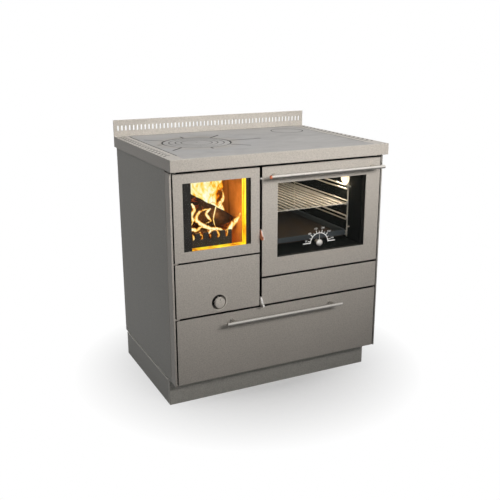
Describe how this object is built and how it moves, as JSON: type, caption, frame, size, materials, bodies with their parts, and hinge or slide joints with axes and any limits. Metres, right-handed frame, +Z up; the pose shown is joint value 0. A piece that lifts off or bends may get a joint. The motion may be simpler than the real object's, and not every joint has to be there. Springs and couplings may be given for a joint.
{
  "type": "wood cookstove",
  "caption": "Freestanding wood cookstove: glazed firebox and oven doors, ash door, wood drawer, steel hotplate with lift-out rings, slotted backsplash and plinth.",
  "frame": {"origin": "middle of the footprint over everything, handles included, on the floor", "axes": "+Z up, the doors face -Y, +X to the right as seen from the front"},
  "size_m": [0.8, 0.618, 0.91],
  "materials": {
    "satin_steel": "fine-grained satin stainless steel",
    "body_steel": "satin steel, darker grey",
    "plate_steel": "ground steel plate",
    "dark_steel": "heat-proof black paint",
    "bright_steel": "polished",
    "cast_iron": "raw cast",
    "firebrick": "pressed refractory",
    "enamel": "gloss enamel",
    "galvanised": "zinc coated sheet",
    "clear_glass": "heat-proof glass",
    "rubber": "moulded"
  },
  "bodies": {
    "root": {"plinth_front": "body_steel", "plinth_left": "body_steel", "plinth_right": "body_steel", "plinth_rear": "body_steel", "levelling_foot_front_left": "rubber", "levelling_foot_front_right": "rubber", "levelling_foot_rear_left": "rubber", "levelling_foot_rear_right": "rubber", "base_tray": "galvanised", "side_panel_left": "body_steel", "side_panel_right": "body_steel", "front_post_left": "satin_steel", "front_post_right": "body_steel", "top_rail": "dark_steel", "drawer_rail": "dark_steel", "front_crossbars": "dark_steel", "rear_panel": "galvanised", "drawer_ceiling": "galvanised", "drawer_runner_left": "galvanised", "drawer_runner_right": "galvanised", "worktop": "satin_steel", "hotplate": "plate_steel", "backsplash": "satin_steel", "flue_collar": "cast_iron", "firebox_casing": "dark_steel", "firebrick_left": "firebrick", "firebrick_right": "firebrick", "firebrick_rear": "firebrick", "fire_grate": "cast_iron", "log_guard": "cast_iron", "ash_pan": "galvanised", "oven_box": "enamel", "oven_rack_left": "bright_steel", "oven_rack_right": "bright_steel", "oven_shelf": "bright_steel", "baking_tray": "enamel", "oven_lamp": "clear_glass"},
    "firebox_door": {"firebox_door": "satin_steel", "firebox_door_glass": "clear_glass", "firebox_door_liner": "dark_steel"},
    "firebox_latch": {"firebox_latch": "bright_steel"},
    "ash_door": {"ash_door": "satin_steel"},
    "ash_latch": {"ash_latch": "bright_steel"},
    "air_knob": {"air_knob": "satin_steel"},
    "oven_door": {"oven_door": "satin_steel", "oven_door_glass": "clear_glass", "oven_door_liner": "dark_steel", "oven_handle": "bright_steel"},
    "thermometer": {"thermometer": "bright_steel"},
    "soot_cover": {"fascia": "satin_steel"},
    "wood_drawer": {"drawer_front": "satin_steel", "drawer_box": "galvanised", "drawer_handle": "bright_steel"},
    "hob_ring_outer": {"hob_ring_outer": "plate_steel"},
    "hob_ring_middle": {"hob_ring_middle": "plate_steel"},
    "hob_ring_inner": {"hob_ring_inner": "plate_steel"},
    "hob_lid": {"hob_lid": "plate_steel"},
    "flue_cover": {"flue_cover": "plate_steel"},
    "damper": {"damper_rod": "bright_steel", "damper_plate": "cast_iron"}
  },
  "joints": [
    {"name": "firebox_door_hinge", "type": "hinge", "parent": "root", "child": "firebox_door", "pos_m": [-0.379, -0.259, 0.658], "axis": [0, 0, -1], "range_deg": [0, 100]},
    {"name": "firebox_latch_lift", "type": "hinge", "parent": "firebox_door", "child": "firebox_latch", "pos_m": [-0.0815, -0.255, 0.577], "axis": [-1, 0, 0], "range_deg": [0, 30]},
    {"name": "ash_door_hinge", "type": "hinge", "parent": "root", "child": "ash_door", "pos_m": [-0.379, -0.259, 0.419], "axis": [0, 0, -1], "range_deg": [0, 100]},
    {"name": "ash_latch_lift", "type": "hinge", "parent": "ash_door", "child": "ash_latch", "pos_m": [-0.0815, -0.255, 0.341], "axis": [-1, 0, 0], "range_deg": [0, 30]},
    {"name": "air_knob_turn", "type": "hinge", "parent": "ash_door", "child": "air_knob", "pos_m": [-0.2355, -0.266, 0.3645], "axis": [0, -1, 0], "range_deg": [-90, 90]},
    {"name": "oven_door_hinge", "type": "hinge", "parent": "root", "child": "oven_door", "pos_m": [0.155, -0.255, 0.437], "axis": [1, 0, 0], "range_deg": [0, 90]},
    {"name": "thermometer_needle_turn", "type": "hinge", "parent": "oven_door", "child": "thermometer", "pos_m": [0.146, -0.266, 0.5195], "axis": [0, -1, 0], "range_deg": [-85, 85], "stiffness_Nm_per_rad": 0.02},
    {"name": "soot_cover_pull", "type": "slide", "parent": "root", "child": "soot_cover", "axis": [0, -1, 0], "range_m": [0, 0.06]},
    {"name": "wood_drawer_slide", "type": "slide", "parent": "root", "child": "wood_drawer", "axis": [0, -1, 0], "range_m": [0, 0.42]},
    {"name": "hob_ring_outer_lift", "type": "slide", "parent": "root", "child": "hob_ring_outer", "axis": [0, 0, 1], "range_m": [0, 0.12]},
    {"name": "hob_ring_middle_lift", "type": "slide", "parent": "hob_ring_outer", "child": "hob_ring_middle", "axis": [0, 0, 1], "range_m": [0, 0.12]},
    {"name": "hob_ring_inner_lift", "type": "slide", "parent": "hob_ring_middle", "child": "hob_ring_inner", "axis": [0, 0, 1], "range_m": [0, 0.12]},
    {"name": "hob_lid_lift", "type": "slide", "parent": "hob_ring_inner", "child": "hob_lid", "axis": [0, 0, 1], "range_m": [0, 0.12]},
    {"name": "flue_cover_lift", "type": "slide", "parent": "root", "child": "flue_cover", "axis": [0, 0, 1], "range_m": [0, 0.12]},
    {"name": "damper_pull", "type": "slide", "parent": "root", "child": "damper", "axis": [0, -1, 0], "range_m": [0, 0.06]}
  ]
}
